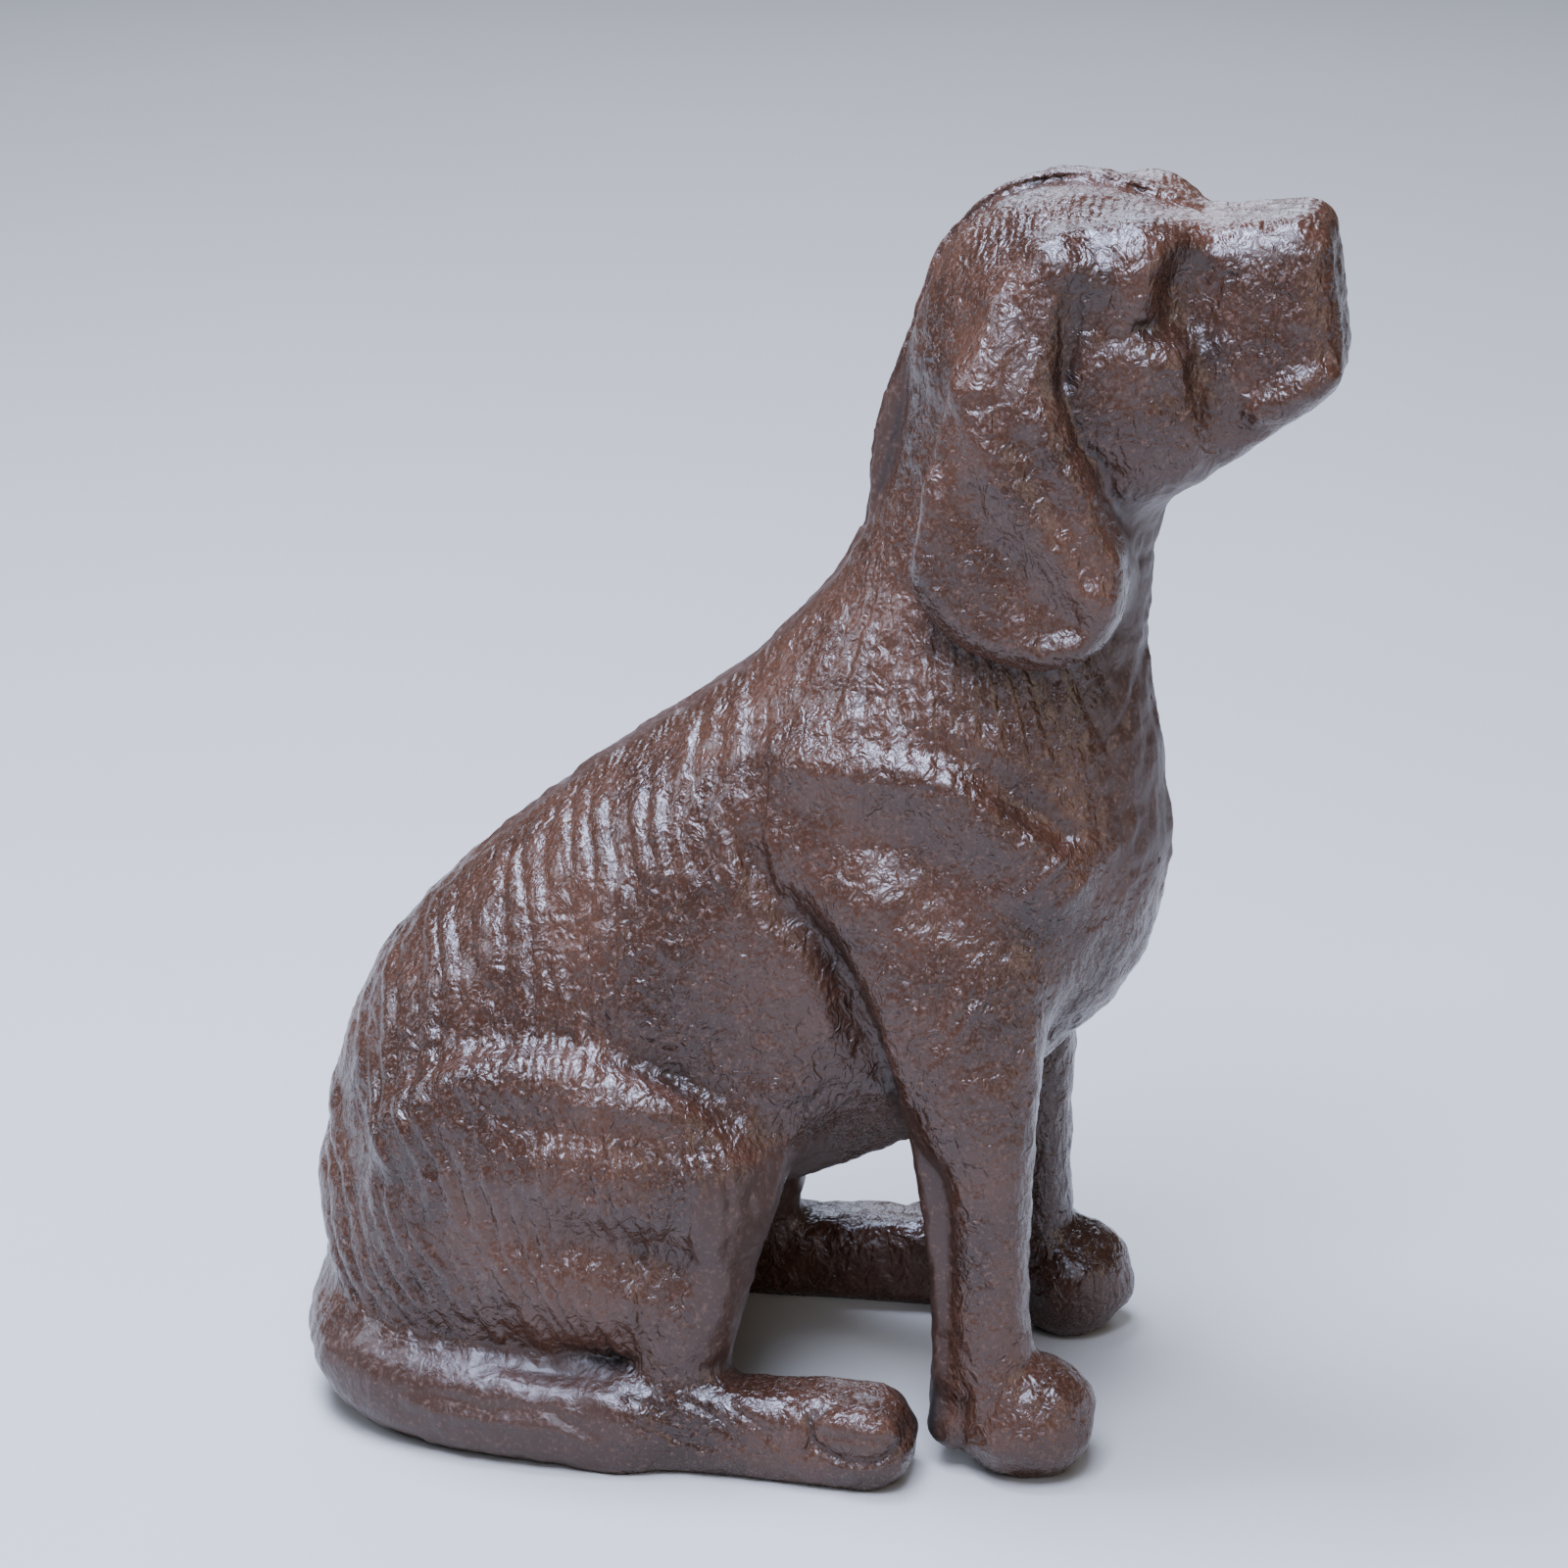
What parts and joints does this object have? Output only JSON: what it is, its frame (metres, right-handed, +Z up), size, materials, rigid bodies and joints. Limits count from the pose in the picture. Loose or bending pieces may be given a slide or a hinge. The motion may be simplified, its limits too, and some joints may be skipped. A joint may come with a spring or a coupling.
{
  "type": "dog statue",
  "caption": "Cast iron garden statue of a hound sitting upright with its nose raised, long hanging ears, carved fur and the tail laid round its right side.",
  "frame": {"origin": "middle of the bounding box at the height of the ground that the feet stand on", "axes": "+X is the way the dog faces, +Y is the dog's left and +Z is up"},
  "size_m": [0.1558, 0.0848, 0.194],
  "materials": {
    "cast_iron": "dark brown semi-gloss over a pitted sand-cast grain"
  },
  "bodies": {
    "root": {"dog": "cast_iron"}
  },
  "joints": []
}
